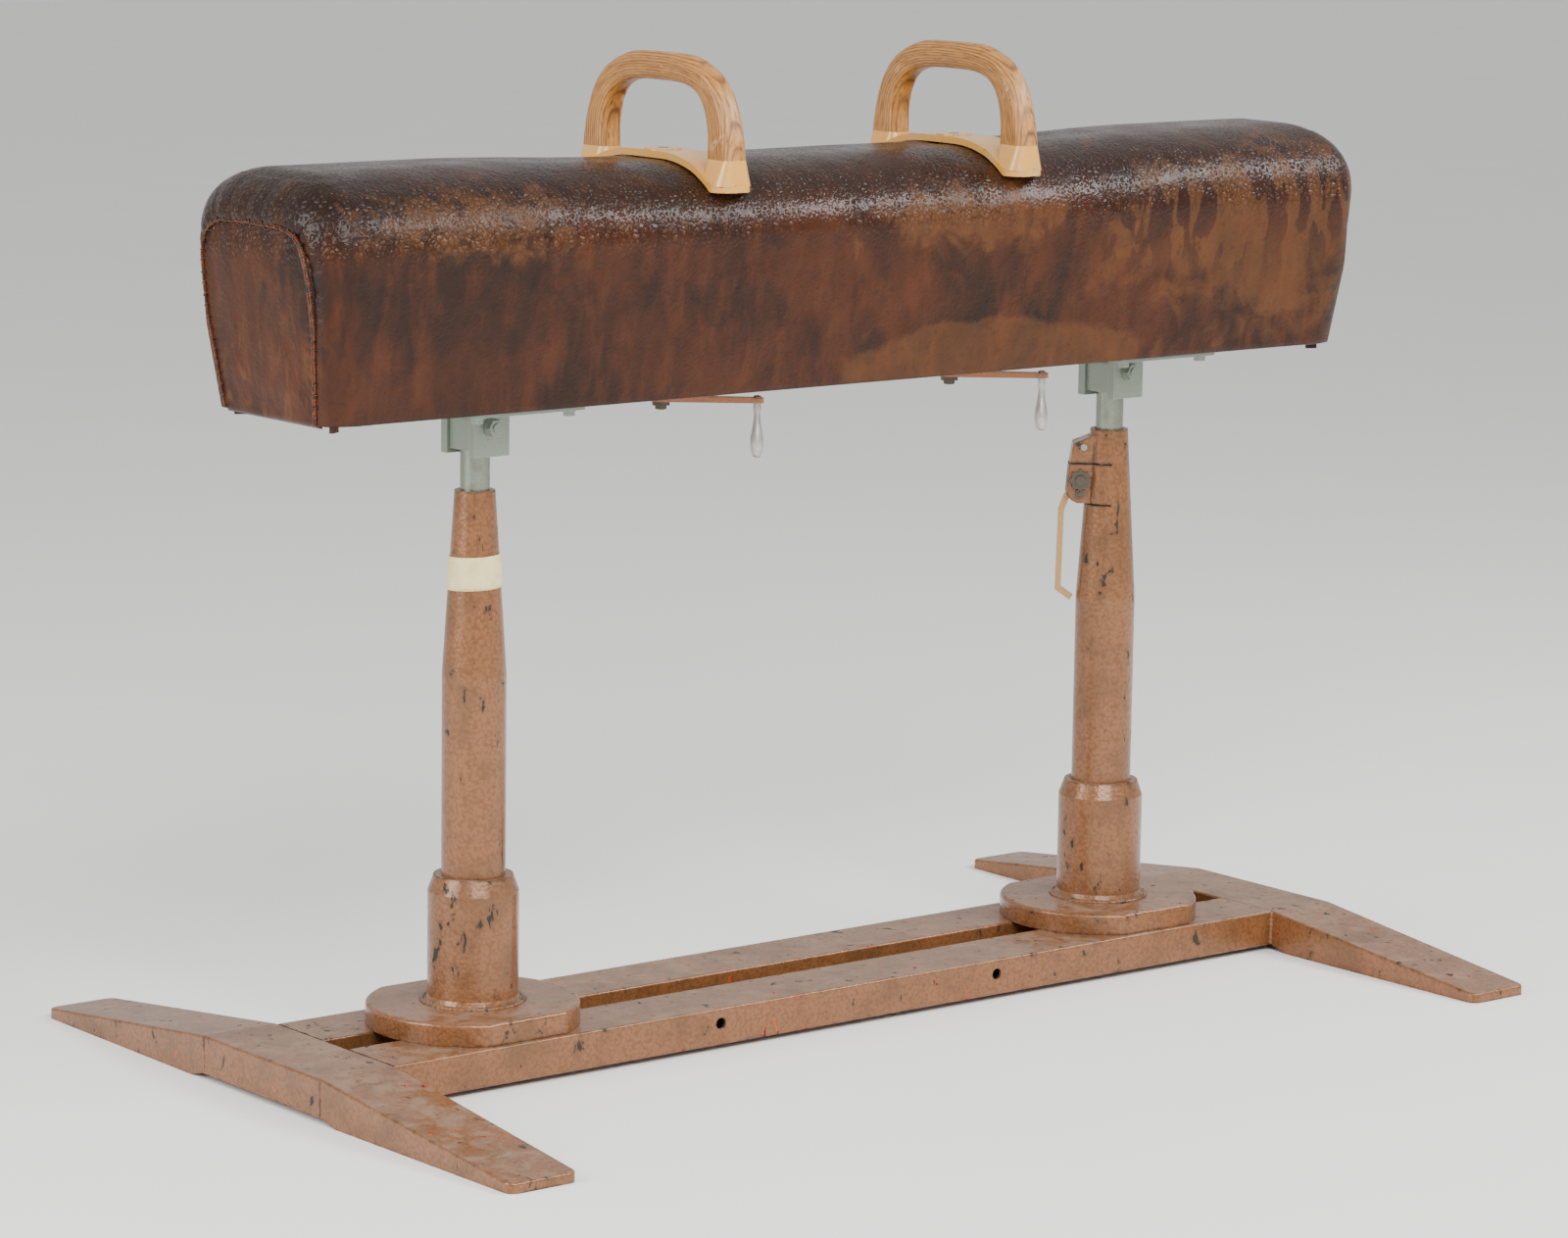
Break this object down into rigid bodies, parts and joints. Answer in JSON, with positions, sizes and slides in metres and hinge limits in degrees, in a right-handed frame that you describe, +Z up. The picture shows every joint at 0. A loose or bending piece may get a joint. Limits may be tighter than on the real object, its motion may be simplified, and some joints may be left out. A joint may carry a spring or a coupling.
{
  "type": "pommel horse",
  "caption": "Leather pommel horse with two laminated-wood pommels on telescopic posts, clamped to a slotted steel floor frame with tapered cross feet.",
  "frame": {"origin": "centre of the footprint, on the floor", "axes": "+X along the horse, +Y to its far side, +Z up"},
  "size_m": [1.6, 0.97, 1.186],
  "materials": {
    "hammered_enamel": "copper-brown hammered enamel, chipped",
    "raw_steel": "oiled bare steel",
    "zinc_plate": "zinc-plated steel, grey-green",
    "lever_enamel": "tan enamel",
    "column_steel": "drawn steel tube",
    "leather": "old waxed cowhide, dark red-brown with worn tan patches",
    "laminated_ash": "laminated beech, oiled",
    "cream_enamel": "cream-yellow enamel on a casting",
    "crank_enamel": "orange-brown enamel",
    "polished_steel": "turned bright steel",
    "paper_tape": "cream masking tape, blank",
    "felt": "grey wool felt, hidden",
    "core_wood": "glued softwood, hidden"
  },
  "bodies": {
    "floor_frame": {"rail_front": "hammered_enamel", "rail_rear": "hammered_enamel", "foot_left": "hammered_enamel", "foot_right": "hammered_enamel", "slot_tie_left": "raw_steel", "slot_tie_right": "raw_steel"},
    "posts": {"base_disc_left": "hammered_enamel", "socket_left": "hammered_enamel", "post_left": "hammered_enamel", "slot_key_left": "raw_steel", "clamp_plate_left": "raw_steel", "anchor_bolt_left": "raw_steel", "clamp_housing_left": "hammered_enamel", "clamp_nut_left": "zinc_plate", "clamp_rivets_left": "zinc_plate", "base_disc_right": "hammered_enamel", "socket_right": "hammered_enamel", "post_right": "hammered_enamel", "slot_key_right": "raw_steel", "clamp_plate_right": "raw_steel", "anchor_bolt_right": "raw_steel", "clamp_housing_right": "hammered_enamel", "clamp_nut_right": "zinc_plate", "clamp_rivets_right": "zinc_plate", "tape_label": "paper_tape"},
    "lever_left": {"clamp_lever_left": "lever_enamel"},
    "lever_right": {"clamp_lever_right": "lever_enamel"},
    "column_left": {"column_left": "column_steel", "column_head_left": "zinc_plate", "pivot_bolt_left": "zinc_plate"},
    "horse": {"leather_cover": "leather", "padding": "felt", "body_core": "core_wood", "underside_board": "core_wood", "thong_ends": "leather", "end_panel_left": "leather", "slot_liner_left": "raw_steel", "bracket_left": "zinc_plate", "mounting_plate_left": "zinc_plate", "plate_bolts_left": "zinc_plate", "end_panel_right": "leather", "slot_liner_right": "raw_steel", "bracket_right": "zinc_plate", "mounting_plate_right": "zinc_plate", "plate_bolts_right": "zinc_plate"},
    "column_right": {"column_right": "column_steel", "column_head_right": "zinc_plate", "pivot_bolt_right": "zinc_plate"},
    "pommel_left": {"pommel_grip_left": "laminated_ash", "pommel_base_left": "cream_enamel", "pommel_spindle_left": "raw_steel"},
    "crank_left": {"crank_nut_left": "raw_steel", "crank_arm_left": "crank_enamel"},
    "bulb_left": {"bulb_grip_left": "polished_steel"},
    "pommel_right": {"pommel_grip_right": "laminated_ash", "pommel_base_right": "cream_enamel", "pommel_spindle_right": "raw_steel"},
    "crank_right": {"crank_nut_right": "raw_steel", "crank_arm_right": "crank_enamel"},
    "bulb_right": {"bulb_grip_right": "polished_steel"}
  },
  "joints": [
    {"name": "slot_slide", "type": "slide", "parent": "floor_frame", "child": "posts", "axis": [1, 0, 0], "range_m": [-0.1, 0.1]},
    {"name": "lever_left_swing", "type": "hinge", "parent": "posts", "child": "lever_left", "pos_m": [-0.47209, 0.02829, 0.622], "axis": [0.7771, -0.6293, 0], "range_deg": [0, 85]},
    {"name": "lever_right_swing", "type": "hinge", "parent": "posts", "child": "lever_right", "pos_m": [0.46671, 0.02291, 0.622], "axis": [0.6293, 0.7771, 0], "range_deg": [0, 85]},
    {"name": "height", "type": "slide", "parent": "posts", "child": "column_left", "axis": [0, 0, 1], "range_m": [0, 0.3]},
    {"name": "tilt", "type": "hinge", "parent": "column_left", "child": "horse", "pos_m": [-0.495, 0, 0.763], "axis": [0, -1, 0], "range_deg": [0, 2]},
    {"name": "right_pivot", "type": "hinge", "parent": "horse", "child": "column_right", "pos_m": [0.495, 0, 0.763], "axis": [0, -1, 0], "range_deg": [-2, 0]},
    {"name": "pommel_left_slide", "type": "slide", "parent": "horse", "child": "pommel_left", "axis": [1, 0, 0], "range_m": [0, 0.02]},
    {"name": "crank_left_turn", "type": "hinge", "parent": "pommel_left", "child": "crank_left", "pos_m": [-0.225, 0, 0.775], "axis": [0, 0, 1], "continuous": true},
    {"name": "bulb_left_spin", "type": "hinge", "parent": "crank_left", "child": "bulb_left", "pos_m": [-0.13821, -0.07545, 0.74], "axis": [0, 0, 1], "continuous": true},
    {"name": "pommel_right_slide", "type": "slide", "parent": "horse", "child": "pommel_right", "axis": [-1, 0, 0], "range_m": [0, 0.02]},
    {"name": "crank_right_turn", "type": "hinge", "parent": "pommel_right", "child": "crank_right", "pos_m": [0.225, 0, 0.775], "axis": [0, 0, 1], "continuous": true},
    {"name": "bulb_right_spin", "type": "hinge", "parent": "crank_right", "child": "bulb_right", "pos_m": [0.31179, -0.07545, 0.74], "axis": [0, 0, 1], "continuous": true}
  ],
  "couplings": [
    {"joint": "right_pivot", "follows": "tilt", "ratio": -1}
  ]
}
